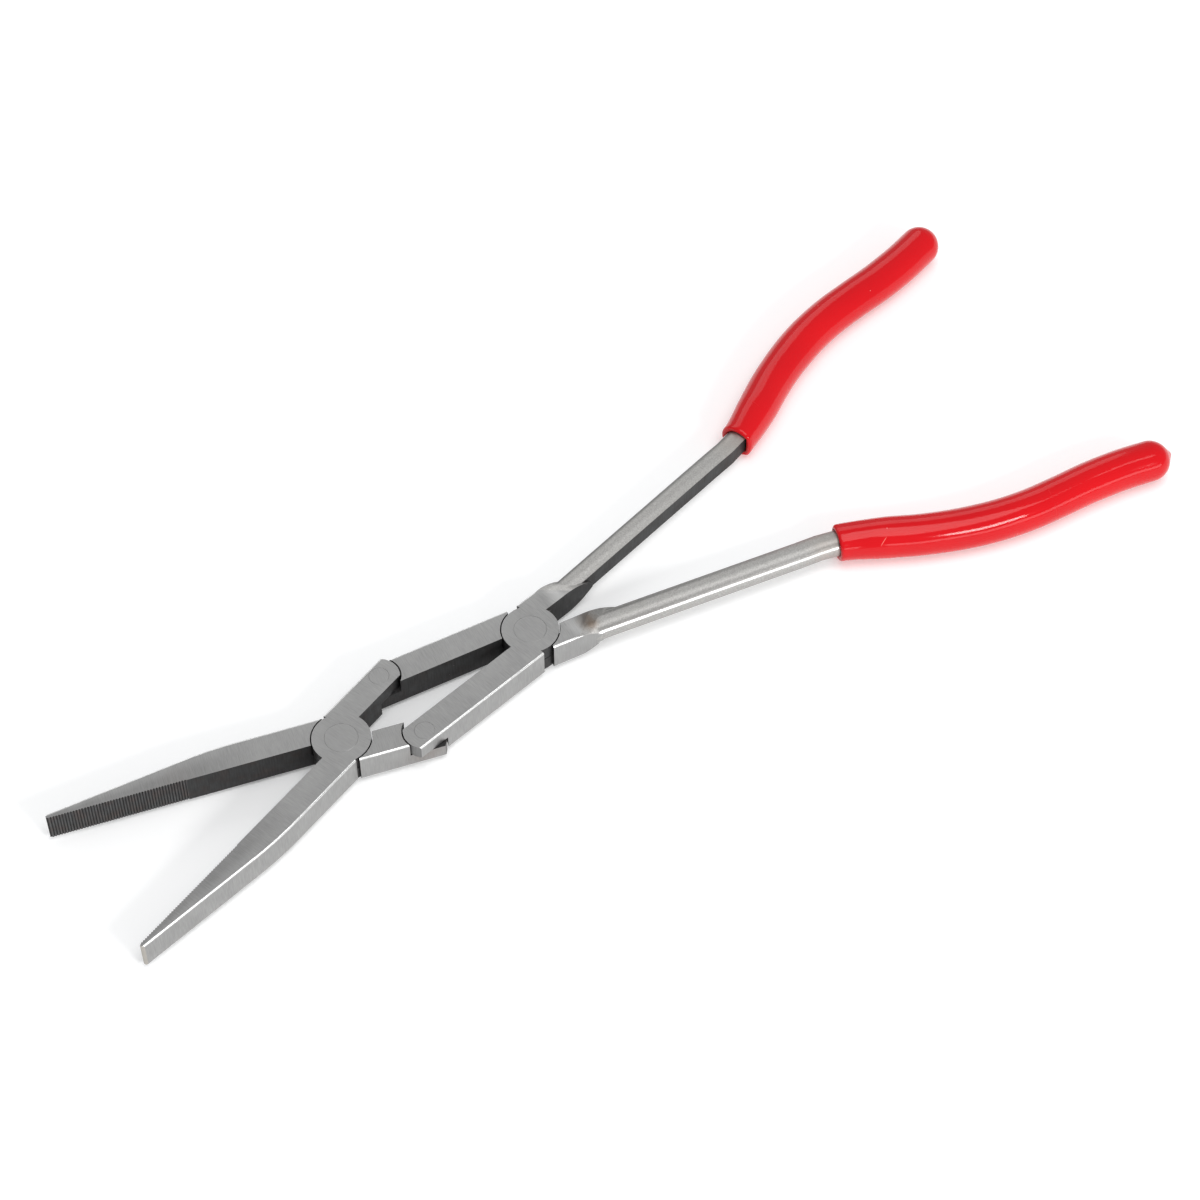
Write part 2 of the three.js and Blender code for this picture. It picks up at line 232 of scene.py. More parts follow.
def remap(tree, value, from_low, from_high, to_low, to_high, smooth=False):
    """A value taken from one range to another and held inside it."""
    made = add(tree, "MapRange", {
        "Value": value, "From Min": from_low, "From Max": from_high,
        "To Min": to_low, "To Max": to_high},
        clamp=True, interpolation_type="SMOOTHSTEP" if smooth else "LINEAR")
    return made.outputs[0]


def maths(tree, operation, first, second=0.0):
    """The result of one sum on two values."""
    return add(tree, "Math", {0: first, 1: second}, operation=operation).outputs[0]


def blend_colour(tree, share, first, second):
    """The first colour giving way to the second as the share goes from 0 to 1."""
    first, second = (colour if isinstance(colour, bpy.types.NodeSocket) else (*colour, 1.0)
                     for colour in (first, second))
    return add(tree, "Mix", {0: share, 6: first, 7: second}, data_type="RGBA").outputs[2]


def blend_value(tree, share, first, second):
    """The first value giving way to the second as the share goes from 0 to 1."""
    return add(tree, "Mix", {0: share, 2: first, 3: second}, data_type="FLOAT").outputs[0]


def scaled_colour(tree, colour, shade):
    """A colour made lighter or darker by a value."""
    return add(tree, "VectorMath", {0: colour, "Scale": shade}, operation="SCALE").outputs[0]


def new_group(name, takes, gives):
    """An empty node group with its named inputs and outputs, and its two end nodes."""
    group = bpy.data.node_groups.new(name, "ShaderNodeTree")
    for label, kind, value in takes:
        socket = group.interface.new_socket(label, in_out="INPUT", socket_type=kind)
        if value is not None:
            socket.default_value = value
    for label, kind in gives:
        group.interface.new_socket(label, in_out="OUTPUT", socket_type=kind)
    entry = group.nodes.new("NodeGroupInput")
    leave = group.nodes.new("NodeGroupOutput")
    return group, entry, leave


def use_group(tree, group, inputs):
    """A node group placed in a material with its own values."""
    return add(tree, "Group", inputs, node_tree=group)


def stretched(tree, vector, along, across):
    """Coordinates squeezed so that a pattern of unit scale has these sizes along X and across."""
    scale = (1.0 / along, 1.0 / across, 1.0 / across)
    return add(tree, "Mapping", {"Vector": vector, "Scale": scale}, vector_type="POINT").outputs[0]


def make_grain_group():
    """Grinding lines: noise drawn out across the bar at two widths, with slow broad patches."""
    group, entry, leave = new_group(
        "grinding_lines",
        [("Vector", "NodeSocketVector", None), ("Depth", "NodeSocketFloat", 1.0)],
        [("Shade", "NodeSocketFloat"), ("Height", "NodeSocketFloat")])
    vector = entry.outputs["Vector"]
    fine = noise(group, stretched(group, vector, GRAIN_ACROSS, GRAIN_RUN), 1.0, 3.0, 0.6)
    broad = noise(group, stretched(group, vector, 4 * GRAIN_ACROSS, GRAIN_RUN), 1.0, 2.0)
    patch = noise(group, vector, GRAIN_PATCH_CELLS, 3.0)
    lines = maths(group, "ADD", maths(group, "MULTIPLY", fine, 0.86),
                  maths(group, "MULTIPLY", broad, 0.14))
    lines = maths(group, "SUBTRACT", lines, 0.5)
    cloud = maths(group, "MULTIPLY", maths(group, "SUBTRACT", patch, 0.5), 0.4)
    shade = maths(group, "MULTIPLY", maths(group, "ADD", lines, cloud), entry.outputs["Depth"])
    height = maths(group, "MULTIPLY", lines, entry.outputs["Depth"])
    group.links.new(maths(group, "ADD", shade, 0.5), leave.inputs["Shade"])
    group.links.new(height, leave.inputs["Height"])
    return group


def make_speck_group():
    """Dust: round specks at the cell centres of a Voronoi pattern, most cells left empty."""
    group, entry, leave = new_group(
        "dust_specks",
        [("Vector", "NodeSocketVector", None), ("Cells", "NodeSocketFloat", 900.0),
         ("Size", "NodeSocketFloat", 0.16), ("Share", "NodeSocketFloat", 0.25)],
        [("Mask", "NodeSocketFloat")])
    cells = add(group, "TexVoronoi", {
        "Vector": entry.outputs["Vector"], "Scale": entry.outputs["Cells"]})
    inside = maths(group, "LESS_THAN", cells.outputs["Distance"], entry.outputs["Size"])
    pick = add(group, "SeparateColor", {0: cells.outputs["Color"]}).outputs[0]
    chosen = maths(group, "LESS_THAN", pick, entry.outputs["Share"])
    group.links.new(maths(group, "MULTIPLY", inside, chosen), leave.inputs["Mask"])
    return group


def make_black_group():
    """Black forge finish: near black, streaked, with clouds of brown where it was hottest."""
    group, entry, leave = new_group(
        "forge_black",
        [("Vector", "NodeSocketVector", None), ("Brown", "NodeSocketFloat", 0.3)],
        [("Color", "NodeSocketColor"), ("Roughness", "NodeSocketFloat"),
         ("Height", "NodeSocketFloat")])
    vector = entry.outputs["Vector"]
    cloud = noise(group, vector, CLOUD_CELLS, 4.0, 0.6)
    streak = noise(group, stretched(group, vector, STREAK_ALONG, STREAK_ACROSS), 1.0, 3.0)
    brown = remap(group, cloud, 0.45, 0.75, 0.0, 1.0)
    brown = maths(group, "MULTIPLY", brown, entry.outputs["Brown"])
    colour = blend_colour(group, brown, BLACK_COLOUR, BLACK_BROWN)
    shade = remap(group, streak, 0.3, 0.7, 0.7, 1.5)
    group.links.new(scaled_colour(group, colour, shade), leave.inputs["Color"])
    group.links.new(remap(group, cloud, 0.3, 0.7, *FORGE_ROUGH), leave.inputs["Roughness"])
    group.links.new(streak, leave.inputs["Height"])
    return group


def make_wear_and_highlight_group():
    """Worn edges and painted highlight: the broken outer edges, polished by the wheel and by
    handling, are painted light where they catch the light.
    """
    group, entry, leave = new_group(
        "edge_wear_and_highlight",
        [("Vector", "NodeSocketVector", None), ("Edge", "NodeSocketFloat", 0.0)],
        [("Mask", "NodeSocketFloat")])
    patch = noise(group, entry.outputs["Vector"], WEAR_CELLS, 3.0)
    kept = remap(group, patch, 0.25, 0.6, 0.55, 1.0)
    group.links.new(maths(group, "MULTIPLY", entry.outputs["Edge"], kept), leave.inputs["Mask"])
    return group


grinding_lines = make_grain_group()
dust_specks = make_speck_group()
forge_black = make_black_group()
edge_wear_and_highlight = make_wear_and_highlight_group()


def turned_place(tree, vector, origin, turn):
    """Coordinates measured from an origin, with X turned by this angle about Z."""
    return add(tree, "Mapping", {
        "Vector": vector, "Location": origin, "Rotation": (0.0, 0.0, turn)},
        vector_type="TEXTURE").outputs[0]


def new_finish(name, pivot, turn):
    """A material, its node tree, and coordinates from the piece's pivot with X along the piece."""
    material = bpy.data.materials.new(name)
    tree = add_nodes(material)
    place = add(tree, "TexCoord").outputs["Object"]
    return material, tree, turned_place(tree, place, pivot, turn)


def face_mask(tree, name):
    """The value of a mask that is stored on the faces."""
    return add(tree, "Attribute", attribute_name=name).outputs["Fac"]


def steel_finish(name, pivot, turn, brown, stains, shades=None, rod_light=None):
    """Ground steel with black forge finish where the face mask says so.

    Each stain is (centre, reach, colour, strength) and fades out from its centre.
    shades gives two painted shades by place, for the bright and for the black finish.
    The last argument gives a painted highlight streak along the rod, joined to the edges, and
    the painted shade and light of the blasted rod around it.
    """
    material, tree, local = new_finish(name, pivot, turn)
    black = face_mask(tree, "black")
    rod = face_mask(tree, "rod")
    outer = face_mask(tree, "outer")
    edge = face_mask(tree, "edge")
    tip = face_mask(tree, "tip")

    grain = use_group(tree, grinding_lines, {"Vector": local, "Depth": 1.0})
    steel = blend_colour(tree, remap(tree, grain.outputs["Shade"], 0.25, 0.75, 0.0, 1.0),
                         STEEL_DARK, STEEL_COLOUR)
    pits = noise(tree, local, PIT_CELLS, 2.0, 0.6)
    satin = blend_colour(tree, remap(tree, pits, 0.3, 0.7, 0.0, 1.0), SATIN_DARK, SATIN_COLOUR)
    # The outer sides are painted lighter than the tops: painted light.
    steel = scaled_colour(tree, steel, blend_value(tree, outer, 1.0, SIDE_PAINTED_LIGHT))
    steel = blend_colour(tree, rod, steel, satin)
    # Painted shade by place: the jaws' noses and teeth.
    if shades:
        bright_shade, black_shade = shades(tree, local)
        steel = scaled_colour(tree, steel, bright_shade)
    steel = blend_colour(tree, maths(tree, "MULTIPLY", tip, TIP_TINT_SHARE), steel, TIP_TINT)
    for centre, reach, colour, strength in stains:
        away = add(tree, "VectorMath", {0: local, 1: centre}, operation="DISTANCE")
        fade = remap(tree, away.outputs["Value"], 0.2 * reach, reach, strength, 0.0, True)
        patch = remap(tree, noise(tree, local, STAIN_CELLS, 3.0), 0.3, 0.6, 0.4, 1.0)
        steel = blend_colour(tree, maths(tree, "MULTIPLY", fade, patch), steel, colour)
    # A painted highlight streak joins the edges; the rod around it gets painted shade and light.
    if rod_light:
        painted_streak, beside = rod_light(tree, local)
        steel = scaled_colour(tree, steel, beside)
        edge = maths(tree, "MAXIMUM", edge, painted_streak)
    # Chamfers and the rod's streak turn light: worn polish and painted highlight.
    worn_edge_and_highlight = use_group(tree, edge_wear_and_highlight, {"Vector": local, "Edge": edge}).outputs["Mask"]
    steel = blend_colour(tree, worn_edge_and_highlight, steel, CHAMFER_WEAR_AND_HIGHLIGHT)
    rough = remap(tree, grain.outputs["Shade"], 0.2, 0.8, *STEEL_ROUGH)
    rough = blend_value(tree, rod, rough, remap(tree, pits, 0.3, 0.7, *SATIN_ROUGH))
    rough = blend_value(tree, worn_edge_and_highlight, rough, EDGE_ROUGH)

    forge = use_group(tree, forge_black, {"Vector": local, "Brown": brown})
    specks = use_group(tree, dust_specks, {"Vector": local, **STEEL_DUST}).outputs["Mask"]
    dark = forge.outputs["Color"]
    if shades:
        dark = scaled_colour(tree, dark, black_shade)
    specks = maths(tree, "MULTIPLY", specks, STEEL_DUST_SHARE)
    dark = blend_colour(tree, specks, dark, STEEL_DARK)
    colour = blend_colour(tree, black, steel, dark)
    roughness = blend_value(tree, black, rough, forge.outputs["Roughness"])
    metal = maths(tree, "SUBTRACT", 1.0, maths(tree, "MULTIPLY", black, BLACK_METAL_LOSS))
    height = blend_value(tree, rod, grain.outputs["Height"], pits)
    height = blend_value(tree, black, height, forge.outputs["Height"])
    bump = add(tree, "Bump", {
        "Height": height, "Strength": STEEL_RELIEF, "Distance": STEEL_RELIEF_DEPTH})
    finish_with(tree, add(tree, "BsdfPrincipled", {
        "Base Color": colour, "Roughness": roughness, "Metallic": metal,
        "Normal": bump.outputs[0], "Specular IOR Level": 0.35}))
    return material


def pivot_of(node):
    """The middle of a rivet's box, on the joint's axis."""
    low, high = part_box(node)
    return (Vector(low) + Vector(high)) / 2


def own_frame(turn, side):
    """The turn back to a piece's own length, and the signs that turn both twins face up."""
    back = np.array([[math.cos(turn), math.sin(turn), 0], [-math.sin(turn), math.cos(turn), 0],
                     [0, 0, 1]])
    return back, np.array([1.0, side, side])


def read_vectors(items, name):
    """One vector of every face, corner or vertex, as rows of an array."""
    values = np.empty(len(items) * 3)
    items.foreach_get(name, values)
    return values.reshape(-1, 3)


def face_measures(mesh, pivot, turn, side):
    """Face middles and normals in the piece's own frame, turned face up and to one hand."""
    back, hand = own_frame(turn, side)
    middles = ((read_vectors(mesh.polygons, "center") - np.array(pivot)) @ back.T) * hand
    normals = (read_vectors(mesh.polygons, "normal") @ back.T) * hand
    return middles, normals


def mark_faces(mesh, name, mask):
    """Stores a mask, from 0 to 1, on the faces for a material to read."""
    layer = mesh.attributes.new(name, "FLOAT", "FACE")
    layer.data.foreach_set("value", mask.astype(np.float32))


def ground_and_edge(middles, normals):
    """Masks of the flat ground tops and of the chamfers beside them."""
    level = np.abs(normals[:, 2])
    outside = np.abs(middles[:, 2]) > HALF_THICKNESS - FACE_TOLERANCE
    tops = (level > TOP_FACING) & outside
    slanted = (level > CHAMFER_FACING) & (level < TOP_FACING)
    edges = slanted & (np.abs(middles[:, 2]) > CHAMFER_FROM)
    return tops, edges


def jaw_masks(middles, normals):
    """Black: all but the tops, the outer sides of nose and tail, and the tip.

    The tail's end is left half bright, as the wheel only grazed it.
    """
    tops, edges = ground_and_edge(middles, normals)
    x, y = middles[:, 0], middles[:, 1]
    tip = (normals[:, 0] > TIP_FACING) & (x > JAW_TIP_X)
    outer_nose = (x > NOSE_START_X) & (normals[:, 1] > NOSE_FACING)
    outer_tail = (x < TAIL_START_X) & (y < TAIL_SIDE_Y) & (normals[:, 1] < -SIDE_FACING)
    black = 1.0 - (tops | edges | tip | outer_nose | outer_tail)
    wall = np.abs(normals[:, 2]) < WALL_FACING
    end = (x < TAIL_END_X) & (normals[:, 0] < -END_FACING) & wall
    black = np.where(end & ~outer_tail, END_BLACK, black)
    return {"black": black, "edge": edges & ~tip, "tip": tip, "rod": np.zeros(len(x)),
            "outer": outer_nose | outer_tail}


def jaw_shades(side):
    """A jaw's painted shade: on the nose's top towards the gripping face, and on its teeth.

    The nose's painted shade follows the share of its width, which narrows evenly to the tip.
    Tooth crests are lighter, worn and with a painted highlight; the valleys get painted shade.
    """
    def shades(tree, local):
        parts = add(tree, "SeparateXYZ", {0: local})
        x, y = parts.outputs[0], maths(tree, "MULTIPLY", parts.outputs[1], side)
        along = remap(tree, x, *PAINTED_SHADE_FROM_TO, 0.0, 1.0, True)
        width = remap(tree, x, *NOSE_TAPER_X, *NOSE_TAPER_WIDTH)
        across = maths(tree, "DIVIDE", y, width)
        dip = remap(tree, across, 0.35, 1.0, NOSE_PAINTED_SHADE, 1.0, True)
        bright = blend_value(tree, along, 1.0, dip)
        # Tooth crests lighter, worn and painted highlight; valleys darker with painted shade.
        teeth = maths(tree, "GREATER_THAN", x, TEETH_START)
        crest = remap(tree, y, TOOTH_CREST, TOOTH_VALLEY, CREST_WEAR_AND_HIGHLIGHT, VALLEY_PAINTED_SHADE)
        return bright, blend_value(tree, teeth, 1.0, crest)
    return shades


def refined_copy(node, name, pivot, turn, side, masks):
    """A CAD piece with its triangles merged to whole faces, its masks, and broken edges.

    A bevel of under a tenth of a millimetre breaks each corner sharper than the chamfers, and
    the faces beside it keep their own normals.
    """
    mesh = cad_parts[node].data.copy()
    mesh.name = name
    mesh.materials.clear()
    work = bmesh.new()
    work.from_mesh(mesh)
    bmesh.ops.remove_doubles(work, verts=work.verts, dist=SAME_POINT)
    bmesh.ops.dissolve_degenerate(work, dist=SAME_POINT, edges=work.edges)
    bmesh.ops.dissolve_limit(
        work, angle_limit=SAME_FACE_ANGLE, verts=work.verts, edges=work.edges)
    work.to_mesh(mesh)
    work.free()
    for layer in [a.name for a in mesh.attributes if a.name.startswith("custom_normal")]:
        mesh.attributes.remove(mesh.attributes[layer])
    middles, normals = face_measures(mesh, pivot, turn, side)
    for label, mask in masks(middles, normals).items():
        mark_faces(mesh, label, mask)
    mesh.shade_smooth()
    piece = bpy.data.objects.new(name, mesh)
    bpy.context.scene.collection.objects.link(piece)
    bevel = piece.modifiers.new("broken_edges", "BEVEL")
    bevel.width = EDGE_BREAK
    bevel.segments = 2
    bevel.limit_method = "ANGLE"
    bevel.angle_limit = SHARP_ANGLE
    bevel.miter_outer = "MITER_ARC"
    weighted = piece.modifiers.new("flat_faces", "WEIGHTED_NORMAL")
    weighted.weight = 100
    weighted.keep_sharp = True
    ready = bpy.context.evaluated_depsgraph_get()
    piece.data = bpy.data.meshes.new_from_object(piece.evaluated_get(ready))
    piece.data.name = name
    piece.modifiers.clear()
    return piece


front_pivot = pivot_of("front_rivet")
for node, side, brown, stains in JAWS:
    turn = side * JAW_OPENING
    jaw = refined_copy(node, node + "_forging", front_pivot, turn, side, jaw_masks)
    jaw.data.materials.append(steel_finish(
        node + "_steel", front_pivot, turn, brown, stains, jaw_shades(side)))
    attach(jaw, node)
    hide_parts(node)

# Levers
# Two forged steel levers, half lapped at the rear rivet: a bar arm forward to the jaw's tail,
# a shoulder scooped down to a D-section rod behind. The inner flat keeps its black finish.

LEVER_OPENING = math.radians(8.2058)
ARM_START_X = 0.0028
ARM_SIDE_Y = 0.0045
ARM_END_X = 0.0440
ARM_END_BLACK = 0.45
SHANK_START_X = -0.0029
SHANK_SIDE_Y = -0.0015
INNER_FACING = 0.90
SCOOP_FROM = -0.010
SCOOP_START = -0.011
ROD_START = -0.0165
ROD_LINE = (-0.004091, 0.06572)  # Y where X is 0, and its rise along X
ROD_RADIUS = 0.0034
SHOULDER_FROM = -0.0104
SHOULDER_TO = -0.0205
MOST_OUT = 0.95
# The painted highlight streak along the rods, and the painted shade and light around it.
ROD_LIGHT_START = -0.0160
ROD_LIGHT_FADE = 0.0015
HIGHLIGHT_BAND = (0.41, 0.50, 0.56, 0.66)
DARK_BAND = (0.60, 0.72, 0.80, 1.25)
UNDER_BAND = (0.30, 0.44)
DARK_SHADE = 0.52
UNDER_SHADE = 1.08
LEVER_BROWN = 0.25
RUB_TINT = (0.40, 0.36, 0.33)
HEAT_TINT = (0.25, 0.165, 0.105)
LEVERS = (
    # node, side, stains as (centre, reach, colour, strength)
    ("right_lever", 1, (
        ((-0.0900, -0.0100, 0.002), 0.012, RUB_TINT, 0.6),)),
    ("left_lever", -1, (
        ((-0.0152, 0.0046, 0.0035), 0.0042, HEAT_TINT, 0.65),
        ((-0.0900, 0.0100, 0.002), 0.012, RUB_TINT, 0.6))),
)


def lever_masks(middles, normals):
    """Black: all but the tops, the outer sides of arm and shank, and the scooped shoulder.

    The arm's end is left half bright, as the wheel only grazed it.
    """
    tops, edges = ground_and_edge(middles, normals)
    x, y = middles[:, 0], middles[:, 1]
    wall = np.abs(normals[:, 2]) < WALL_FACING
    outer_arm = (x > ARM_START_X) & (y > ARM_SIDE_Y) & (normals[:, 1] > SIDE_FACING)
    arm_end = (x > ARM_END_X) & (normals[:, 0] > END_FACING) & wall
    shank = x < SHANK_START_X
    outward = (normals[:, 1] < INNER_FACING) & (normals[:, 0] < TIP_FACING)
    outer_shank = shank & (y < SHANK_SIDE_Y) & outward
    scoop = shank & (x < SCOOP_FROM) & (np.abs(normals[:, 2]) > WALL_FACING)
    rod = (x < ROD_START) | scoop & ~tops
    black = 1.0 - (tops | edges | outer_arm | outer_shank | scoop)
    black = np.where(arm_end & ~outer_arm, ARM_END_BLACK, black)
    plain_edges = edges & (x > SCOOP_START)
    return {"black": black, "edge": plain_edges, "tip": np.zeros(len(x)), "rod": rod,
            "outer": outer_arm | outer_shank & ~rod}


def ease(value):
    """Smooth rise from 0 to 1."""
    value = np.clip(value, 0.0, 1.0)
    return value * value * (3 - 2 * value)


def soften_shoulder(mesh, pivot, turn, side):
    """Shades the blasted shoulder as one soft surface from the flat top into the rod's skin.

    At an eased share of the way along, the normal has gone by that share from straight up to
    straight out from the rod's middle line.
    """
    corner = np.empty(len(mesh.loops), np.int32)
    mesh.loops.foreach_get("vertex_index", corner)
    back, hand = own_frame(turn, side)
    place = ((read_vectors(mesh.vertices, "co")[corner] - np.array(pivot)) @ back.T) * hand
    normal = (read_vectors(mesh.corner_normals, "vector") @ back.T) * hand
    x, y, z = place.T
    share = ease((SHOULDER_FROM - x) / (SHOULDER_FROM - SHOULDER_TO))
    out = (y - ROD_LINE[0] - ROD_LINE[1] * x) / ROD_RADIUS
    out = np.clip(out, -MOST_OUT, MOST_OUT) * share
    soft = np.stack([0 * x, out, np.sign(z) * np.sqrt(1 - out ** 2)], axis=-1)
    chosen = (x < SHOULDER_FROM) & (x > SHOULDER_TO) & (np.abs(normal[:, 2]) > WALL_FACING)
    normal = np.where(chosen[:, None], soft, normal)
    mesh.normals_split_custom_set((normal * hand) @ back)


def rod_painted_light(side):
    """A painted highlight along a rod's outer side, with painted shade and light around it.

    A point's slope is its angle about the rod's middle line, from straight out (0) to straight
    up. It paints a highlight line between 24 and 38 degrees, a band of shade above and a band
    of light below. A band rises between its first two slopes and falls between its last two.
    """
    def band(tree, slope, slopes):
        low = remap(tree, slope, slopes[0], slopes[1], 0.0, 1.0, True)
        high = remap(tree, slope, slopes[2], slopes[3], 1.0, 0.0, True)
        return maths(tree, "MULTIPLY", low, high)

    def rod_light(tree, local):
        parts = add(tree, "SeparateXYZ", {0: local})
        x, y = parts.outputs[0], maths(tree, "MULTIPLY", parts.outputs[1], side)
        line = maths(tree, "ADD", ROD_LINE[0], maths(tree, "MULTIPLY", x, ROD_LINE[1]))
        out = maths(tree, "SUBTRACT", line, y)
        slope = maths(tree, "ARCTAN2", maths(tree, "ABSOLUTE", parts.outputs[2]), out)
        start = remap(tree, x, ROD_LIGHT_START - ROD_LIGHT_FADE, ROD_LIGHT_START, 1.0, 0.0, True)
        bright = maths(tree, "MULTIPLY", band(tree, slope, HIGHLIGHT_BAND), start)
        dark = maths(tree, "MULTIPLY", band(tree, slope, DARK_BAND), start)
        under = maths(tree, "MULTIPLY", remap(tree, slope, *UNDER_BAND, 1.0, 0.0, True), start)
        shade = maths(tree, "MULTIPLY", blend_value(tree, dark, 1.0, DARK_SHADE),
                      blend_value(tree, under, 1.0, UNDER_SHADE))
        return bright, shade
    return rod_light


rear_pivot = pivot_of("rear_rivet")
for node, side, stains in LEVERS:
    turn = side * LEVER_OPENING
    lever = refined_copy(node, node + "_forging", rear_pivot, turn, side, lever_masks)
    soften_shoulder(lever.data, rear_pivot, turn, side)
    lever.data.materials.append(steel_finish(
        node + "_steel", rear_pivot, turn, LEVER_BROWN, stains, rod_light=rod_painted_light(side)))
    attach(lever, node)
    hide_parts(node)

# Rivets
# Four steel rivets with countersunk heads, pressed home and ground flush, with a hair-thin ring
# round each. The front one has room in the lower jaw for the linkage's small drift.

RIVET_SIDES = 96
RIVET_LAND = 0.0009
SHANK_SHARE = 0.74
HOLE_GAP = 0.0003
RING_GAP = 0.000025
LOOSE_GAP = 0.00019
LAP_STEP = 0.0001
RIM_ROUND = 0.00006
RIM_STEPS = 5
FACE_RINGS = np.array([[0.25], [0.5], [0.75], [0.93]])
HEAD_CORNER = math.radians(30.0)
RIVETS = (
    # node, body, angle of that body's bar, head radius, gap left at the lower end
    ("front_rivet", "left_jaw", JAW_OPENING, 0.00425, LOOSE_GAP),
    ("rear_rivet", "right_lever", LEVER_OPENING, 0.0042, RING_GAP),
    ("left_link_rivet", "right_lever", LEVER_OPENING, 0.00245, RING_GAP),
    ("right_link_rivet", "left_lever", -LEVER_OPENING, 0.00245, RING_GAP),
)


def closed_mesh(name, points, sides):
    """A mesh from rings of points, each ring one row, with its first and last rows as poles.

    points has one row per ring and `sides` columns; the pole rows hold the pole in column 0.
    Quads join each ring to the next and triangles close the two ends.
    """
    rings = len(points) - 2
    vertices = np.concatenate([points[0, :1], points[1:-1].reshape(-1, 3), points[-1, :1]])
    row = np.arange(rings - 1)[:, None] * sides + 1
    column = np.arange(sides)[None, :]
    following = (column + 1) % sides
    quads = np.stack([row + column, row + following, row + sides + following,
                      row + sides + column], axis=-1).reshape(-1, 4)
    around = np.arange(sides)
    after = (around + 1) % sides
    last = 1 + (rings - 1) * sides
    start = np.stack([np.zeros(sides, int), 1 + after, 1 + around], axis=-1)
    end = np.stack([np.full(sides, len(vertices) - 1), last + around, last + after], axis=-1)
    mesh = bpy.data.meshes.new(name)
    mesh.from_pydata(vertices, [], [*quads.tolist(), *start.tolist(), *end.tolist()])
    mesh.shade_smooth()
    return mesh


def rivet_points(pivot, head, lower_gap):
    """The profile (radius, height) of both heads and the shank, turned about the pivot's axis.

    A point is pivot + (r cos a, r sin a, z). The radius fills the hole less the gap, and the
    rim between the flush face and the head's side is a quarter round. The lower end has its own
    gap, so the shank steps from one to the other just above and below the lap.
    """
    full = head + HOLE_GAP
    shank = head * SHANK_SHARE + HOLE_GAP
    slope = RIVET_LAND + full - shank
    quarter = np.linspace(0.0, math.pi / 2, RIM_STEPS)

    def rim(gap):
        edge = full - gap
        radius = edge - RIM_ROUND + RIM_ROUND * np.sin(quarter)
        height = HALF_THICKNESS - RIM_ROUND + RIM_ROUND * np.cos(quarter)
        return np.stack([radius, height], axis=-1)

    upper = rim(RING_GAP)
    lower = rim(lower_gap)[::-1] * (1, -1)
    upper_face = np.concatenate(
        [FACE_RINGS * upper[0, 0], np.full_like(FACE_RINGS, HALF_THICKNESS)], axis=1)
    upper_side = [[full - RING_GAP, HALF_THICKNESS - RIVET_LAND],
                  [shank - RING_GAP, HALF_THICKNESS - slope],
                  [shank - RING_GAP, LAP_STEP]]
    lower_side = [[shank - lower_gap, -LAP_STEP],
                  [shank - lower_gap, slope - HALF_THICKNESS],
                  [full - lower_gap, RIVET_LAND - HALF_THICKNESS]]
    lower_face = (upper_face * (1, -1))[::-1]
    profile = np.concatenate([[[0, HALF_THICKNESS]], upper_face, upper, upper_side, lower_side,
                              lower, lower_face, [[0, -HALF_THICKNESS]]])[::-1]
    angle = np.linspace(0.0, 2 * math.pi, RIVET_SIDES, endpoint=False)
    radius, height = profile[:, :1], profile[:, 1:]
    points = np.stack([radius * np.cos(angle), radius * np.sin(angle),
                       height + 0 * angle], axis=-1)
    return points + np.array(pivot)


def rivet_finish(name, pivot, turn):
    """The steel of the heads, ground together with the bars, its lines a little fainter."""
    material, tree, local = new_finish(name, pivot, turn)
    grain = use_group(tree, grinding_lines, {"Vector": local, "Depth": 0.9})
    colour = blend_colour(tree, remap(tree, grain.outputs["Shade"], 0.2, 0.8, 0.0, 1.0),
                          STEEL_DARK, STEEL_COLOUR)
    bump = add(tree, "Bump", {
        "Height": grain.outputs["Height"], "Strength": STEEL_RELIEF,
        "Distance": STEEL_RELIEF_DEPTH})
    finish_with(tree, add(tree, "BsdfPrincipled", {
        "Base Color": colour, "Metallic": 1.0, "Normal": bump.outputs[0],
        "Roughness": remap(tree, grain.outputs["Shade"], 0.2, 0.8, *STEEL_ROUGH)}))
    return material


for node, body, turn, head, lower_gap in RIVETS:
    pivot = pivot_of(node)
    mesh = closed_mesh(node + "_steel", rivet_points(pivot, head, lower_gap), RIVET_SIDES)
    mesh.set_sharp_from_angle(angle=HEAD_CORNER)
    rivet = bpy.data.objects.new(node + "_steel", mesh)
    bpy.context.scene.collection.objects.link(rivet)
    mesh.materials.append(rivet_finish(node + "_finish", pivot, turn))
    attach(rivet, body)
    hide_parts(node)

# Grips
# Each rod's end is dipped in red vinyl: a glossy skin with a rolled lip at its mouth, swelling
# to full thickness over the first stretch, a round end, and the last drip hardened at its end.

SHANK_LENGTH = 0.0905
SHANK_OFFSET = 0.00512
SHANK_SPLAY = math.radians(3.76)
MOUTH_RISE = 0.0002
SHANK_STATIONS = np.array([0.087, 0.173, 0.541, 0.866])  # shares of the shank's length
GRIP_LENGTH = 0.0999
GRIP_BOW = np.array([  # share of the length, and the bow there in millimetres
    [0, 0], [0.125, 4.2], [0.232, 8.4], [0.338, 11.7], [0.442, 13.8], [0.545, 14.7],
    [0.646, 14.6], [0.746, 14.2], [0.848, 14.5], [0.95, 15.6], [1, 16]])
ROD_FLAT = 0.00286
ROD_FLAT_HALF_HEIGHT = 0.0027
LINE_STEPS = 60
GRIP_SIDES = 72
GRIP_RADIUS = 0.0059
MOUTH_RADIUS = 0.0051
GRIP_SWELL = 0.016
SKIN_RINGS = 120
BORE_GAP = 0.00006
BORE_RINGS = 30
BORE_MOUTH = (0.006, 0.004, 0.002, 0.0012)
BORE_CLOSE = (0.0010, 0.0008)
ROD_END_ROOM = 0.0080
LIP_DEPTH = 0.0009
LIP_RINGS = 9
DOME_RINGS = 20
